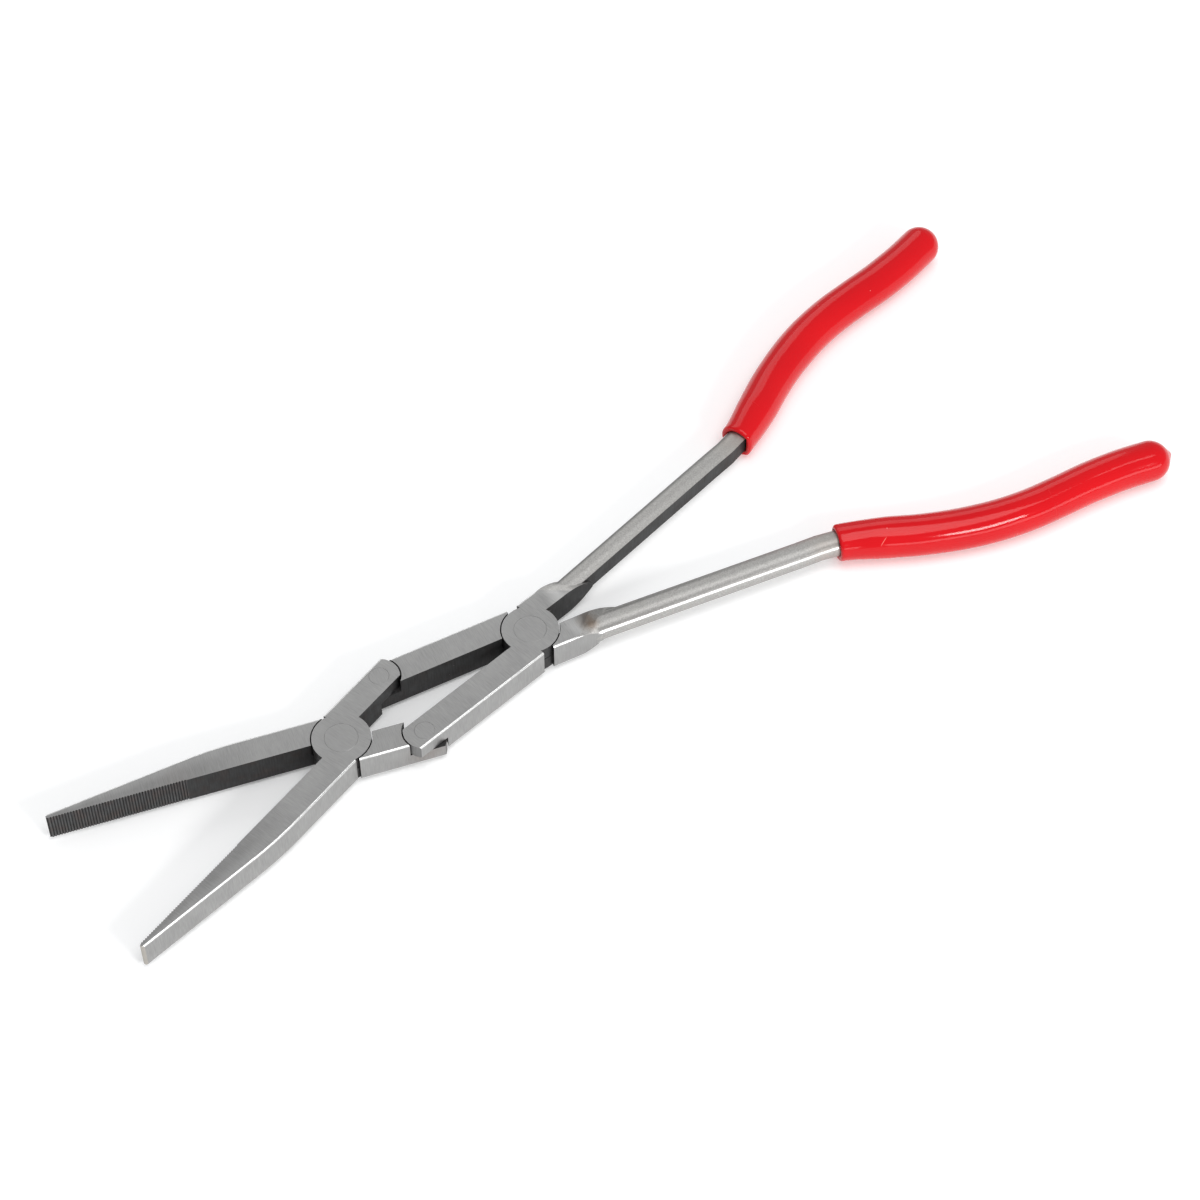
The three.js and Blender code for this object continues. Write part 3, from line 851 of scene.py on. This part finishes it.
DRIP_RADIUS = 0.0017
DRIP_LENGTH = 0.0011
ECHO_SHARE = 0.7
ECHO_RUN = 0.010
WAVE_START = 0.010
WAVES = (
    # height, radians per metre along, first phase, waves round the skin, first angle round it
    (0.00004, 210.0, 0.0, 1, 0.6),
    (0.00002, 323.0, 1.0, 2, 0.0),
    (0.00003, 141.0, 2.0, 0, 0.0),
)
GRIP_RED = (0.59, 0.0034, 0.0074)
GRIP_RED_DEEP = (0.50, 0.0024, 0.0072)
DUST_TINT = (0.75, 0.45, 0.42)
RED_CLOUD_CELLS = 55.0
RIPPLE_CELLS = 210.0
PEEL_CELLS = 1500.0
VINYL_DUST = {"Cells": 260.0, "Size": 0.05, "Share": 0.20}
VINYL_DUST_SHARE = 0.35
VINYL_ROUGH = (0.08, 0.12)
SCRATCH_PATCH_CELLS = 90.0
FINE_SCRATCH_WIDTH = 0.0006
FINE_SCRATCH_LENGTH = 0.02
VINYL_RELIEF = 0.20
VINYL_RELIEF_DEPTH = 0.00014
SCRATCH_PLACE = (-0.1010, 0.0182, 0.0036)
SCRATCH_TURN = math.radians(21.2)
SCRATCH_HALF_LENGTH = 0.0013
SCRATCH_HALF_WIDTH = 0.00010
SCRATCH_COLOUR = (0.80, 0.22, 0.18)


def handle_points():
    """The handle's middle line in the closed lever: the straight shank, then the bowed grip."""
    slope = math.tan(SHANK_SPLAY)
    shank_x = SHANK_STATIONS * SHANK_LENGTH
    offset = SHANK_OFFSET + (shank_x - shank_x[1]) * slope
    mouth = SHANK_OFFSET + (SHANK_LENGTH - shank_x[1]) * slope + MOUTH_RISE
    bow_x = SHANK_LENGTH + GRIP_BOW[:, 0] * GRIP_LENGTH
    bow_y = mouth + GRIP_BOW[:, 1] / 1000
    points = np.stack([np.concatenate([shank_x, bow_x]), np.concatenate([offset, bow_y])], axis=-1)
    return -points


def smooth_line(points, steps):
    """A curve through the points, each span a cubic whose end slopes come from its neighbours.

    The knots stand apart by the square root of the distance between points, so that the curve
    doesn't overshoot between unequal spans.
    """
    ends = np.concatenate([[2 * points[0] - points[1]], points, [2 * points[-1] - points[-2]]])
    before, first, second, after = ends[:-3], ends[1:-2], ends[2:-1], ends[3:]
    gap0 = np.sqrt(np.linalg.norm(first - before, axis=1))[:, None]
    gap1 = np.sqrt(np.linalg.norm(second - first, axis=1))[:, None]
    gap2 = np.sqrt(np.linalg.norm(after - second, axis=1))[:, None]
    slope1 = (first - before) / gap0 - (second - before) / (gap0 + gap1) + (second - first) / gap1
    slope2 = (second - first) / gap1 - (after - first) / (gap1 + gap2) + (after - second) / gap2
    share = np.linspace(0.0, 1.0, steps, endpoint=False)[None, :, None]
    slope1, slope2 = (slope1 * gap1)[:, None], (slope2 * gap1)[:, None]
    first, second = first[:, None], second[:, None]
    cubic = (first + slope1 * share
             + (3 * (second - first) - 2 * slope1 - slope2) * share ** 2
             + (2 * (first - second) + slope1 + slope2) * share ** 3)
    return np.concatenate([cubic.reshape(-1, 2), points[-1:]])


def rod_reach(angle, gap):
    """How far the rod's skin is from its middle line, angle 0 pointing at the inner flat.

    Round outside; towards the flat it is an ellipse cut off by the flat.
    """
    radius, flat, height = ROD_RADIUS + gap, ROD_FLAT + gap, ROD_FLAT_HALF_HEIGHT + gap
    depth = flat / math.sqrt(1 - (height / radius) ** 2)
    inner = np.cos(angle) > 0
    width = np.where(inner, depth, radius)
    ellipse = 1 / np.sqrt((np.cos(angle) / width) ** 2 + (np.sin(angle) / radius) ** 2)
    cut = flat / np.maximum(np.cos(angle), 1e-6)
    return np.where(inner, np.minimum(ellipse, cut), ellipse)


def skin_rings(length, angle):
    """The skin's rings from inside the bore to the drip: each radius, and its way from the mouth.

    The radius goes from the bore's (the rod's own section and a hair more) over a rolled lip,
    half an ellipse, to the outer skin's, which eases from the mouth's to full. Sine waves of a
    few hundredths of a millimetre and a fading echo of the rod's flat are added to it. The end
    is a quarter circle, and its drip a bell curve of the distance from the middle line.
    """
    bore_end = length - ROD_END_ROOM
    bore = np.concatenate([np.linspace(bore_end, BORE_MOUTH[0], BORE_RINGS), BORE_MOUTH[1:]])
    lip = np.linspace(-math.pi / 2, math.pi / 2, LIP_RINGS)[1:, None]
    straight = np.linspace(2 * LIP_DEPTH, length - GRIP_RADIUS, SKIN_RINGS)[:, None]
    dome = np.linspace(0.0, math.pi / 2, DOME_RINGS, endpoint=False)[1:, None]

    inner = rod_reach(angle, BORE_GAP)
    full = MOUTH_RADIUS + (GRIP_RADIUS - MOUTH_RADIUS) * ease(straight / GRIP_SWELL)
    echo = (inner - ROD_RADIUS) * ECHO_SHARE * np.exp(-straight / ECHO_RUN)
    waves = sum(height * np.sin(straight * rate + phase) * np.cos(count * angle + first)
                for height, rate, phase, count, first in WAVES)
    skin = full + echo + waves * ease(straight / WAVE_START)

    lip_radius = (inner + skin[:1]) / 2 + (skin[:1] - inner) / 2 * np.sin(lip)
    lip_along = LIP_DEPTH - LIP_DEPTH * np.cos(lip)
    dome_radius = skin[-1:] * np.cos(dome)
    drip = DRIP_LENGTH * np.exp(-(dome_radius / DRIP_RADIUS) ** 2)
    dome_along = length - GRIP_RADIUS + GRIP_RADIUS * np.sin(dome) + drip

    radius = np.concatenate([
        0 * angle, 0.5 * inner, inner + 0 * bore[:, None], lip_radius, skin, dome_radius,
        0 * angle])
    along = np.concatenate([
        bore_end + BORE_CLOSE[0] + 0 * angle, bore_end + BORE_CLOSE[1] + 0 * angle,
        bore[:, None] + 0 * angle, lip_along + 0 * angle, straight + 0 * angle, dome_along,
        length + DRIP_LENGTH + 0 * angle])
    return radius, along


def grip_points(pivot, turn, side):
    """The skin's rings carried along the handle's line, then turned to the lever's place.

    A point is the line's place at its way along, plus its radius times the cosine of its angle
    towards the inner flat and times the sine downwards. Past its end the line goes straight on.
    """
    line = smooth_line(handle_points(), LINE_STEPS)
    run = np.concatenate([[0], np.cumsum(np.linalg.norm(np.diff(line, axis=0), axis=1))])
    mouth = np.interp(SHANK_LENGTH, -line[:, 0], run)
    angle = np.linspace(0.0, 2 * math.pi, GRIP_SIDES, endpoint=False)[None, :]
    radius, along = skin_rings(run[-1] - mouth, angle)

    place = mouth + along
    beyond = np.maximum(place - run[-1], 0.0)
    slope = np.gradient(line, run, axis=0)
    slope /= np.linalg.norm(slope, axis=1, keepdims=True)
    slope_x = np.interp(place, run, slope[:, 0])
    slope_y = np.interp(place, run, slope[:, 1])
    inward = radius * np.cos(angle)
    x = np.interp(place, run, line[:, 0]) + beyond * slope_x + inward * slope_y
    y = np.interp(place, run, line[:, 1]) + beyond * slope_y - inward * slope_x
    z = -radius * np.sin(angle)
    y, z = y * side, z * side
    turned = np.stack([x * math.cos(turn) - y * math.sin(turn),
                       x * math.sin(turn) + y * math.cos(turn), z], axis=-1)
    return turned + np.array(pivot)


def single_scratch(tree, local):
    """The mask of one short scratch across the left grip's outer side, near its mouth."""
    parts = add(tree, "SeparateXYZ", {
        0: turned_place(tree, local, SCRATCH_PLACE, SCRATCH_TURN)})
    along, across, above = (maths(tree, "ABSOLUTE", part) for part in parts.outputs)
    mask = maths(tree, "MULTIPLY",
                 remap(tree, along, 0.5 * SCRATCH_HALF_LENGTH, SCRATCH_HALF_LENGTH, 0.8, 0.0),
                 remap(tree, across, 0.5 * SCRATCH_HALF_WIDTH, SCRATCH_HALF_WIDTH, 1.0, 0.0))
    near = maths(tree, "LESS_THAN", above, SCRATCH_HALF_LENGTH)
    return maths(tree, "MULTIPLY", mask, near)


def vinyl_finish(name, pivot, turn, side):
    """Glossy dipped vinyl: clouds of deeper red, a faint ripple, dust and fine scratches."""
    material, tree, local = new_finish(name, pivot, turn)
    cloud = noise(tree, local, RED_CLOUD_CELLS, 3.0)
    ripple = noise(tree, local, RIPPLE_CELLS, 2.0)
    peel = noise(tree, local, PEEL_CELLS, 2.0)
    colour = blend_colour(tree, remap(tree, cloud, 0.35, 0.7, 0.0, 0.45), GRIP_RED, GRIP_RED_DEEP)
    specks = use_group(tree, dust_specks, {"Vector": local, **VINYL_DUST}).outputs["Mask"]
    specks = maths(tree, "MULTIPLY", specks, VINYL_DUST_SHARE)
    colour = blend_colour(tree, specks, colour, DUST_TINT)
    if side < 0:
        colour = blend_colour(tree, single_scratch(tree, local), colour, SCRATCH_COLOUR)
    drawn_out = stretched(tree, local, FINE_SCRATCH_WIDTH, FINE_SCRATCH_LENGTH)
    scratch_lines = noise(tree, drawn_out, 1.0, 1.0)
    scratch_patch = noise(tree, local, SCRATCH_PATCH_CELLS, 2.0)
    scratch = maths(tree, "MULTIPLY", remap(tree, scratch_lines, 0.70, 0.74, 0.0, 1.0),
                    remap(tree, scratch_patch, 0.56, 0.62, 0.0, 1.0))
    rough = maths(tree, "ADD", remap(tree, cloud, 0.3, 0.7, *VINYL_ROUGH),
                  maths(tree, "MULTIPLY", scratch, 0.3))
    height = maths(tree, "ADD", maths(tree, "MULTIPLY", ripple, 0.7),
                   maths(tree, "MULTIPLY", peel, 0.12))
    height = maths(tree, "SUBTRACT", height, maths(tree, "MULTIPLY", scratch, 0.2))
    bump = add(tree, "Bump", {
        "Height": height, "Strength": VINYL_RELIEF, "Distance": VINYL_RELIEF_DEPTH})
    finish_with(tree, add(tree, "BsdfPrincipled", {
        "Base Color": colour, "Roughness": rough, "Normal": bump.outputs[0],
        "Metallic": 0.0, "IOR": 1.48, "Specular IOR Level": 0.21,
        "Coat Weight": 0.15, "Coat Roughness": 0.06,
        "Sheen Weight": 0.05, "Sheen Roughness": 0.45, "Sheen Tint": (1.0, 0.42, 0.30, 1.0)}))
    return material


for node, body, side in (("right_grip", "right_lever", 1), ("left_grip", "left_lever", -1)):
    turn = side * LEVER_OPENING
    mesh = closed_mesh(node + "_vinyl", grip_points(rear_pivot, turn, side), GRIP_SIDES)
    grip = bpy.data.objects.new(node + "_vinyl", mesh)
    bpy.context.scene.collection.objects.link(grip)
    mesh.materials.append(vinyl_finish(node + "_red", rear_pivot, turn, side))
    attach(grip, body)
    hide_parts(node)
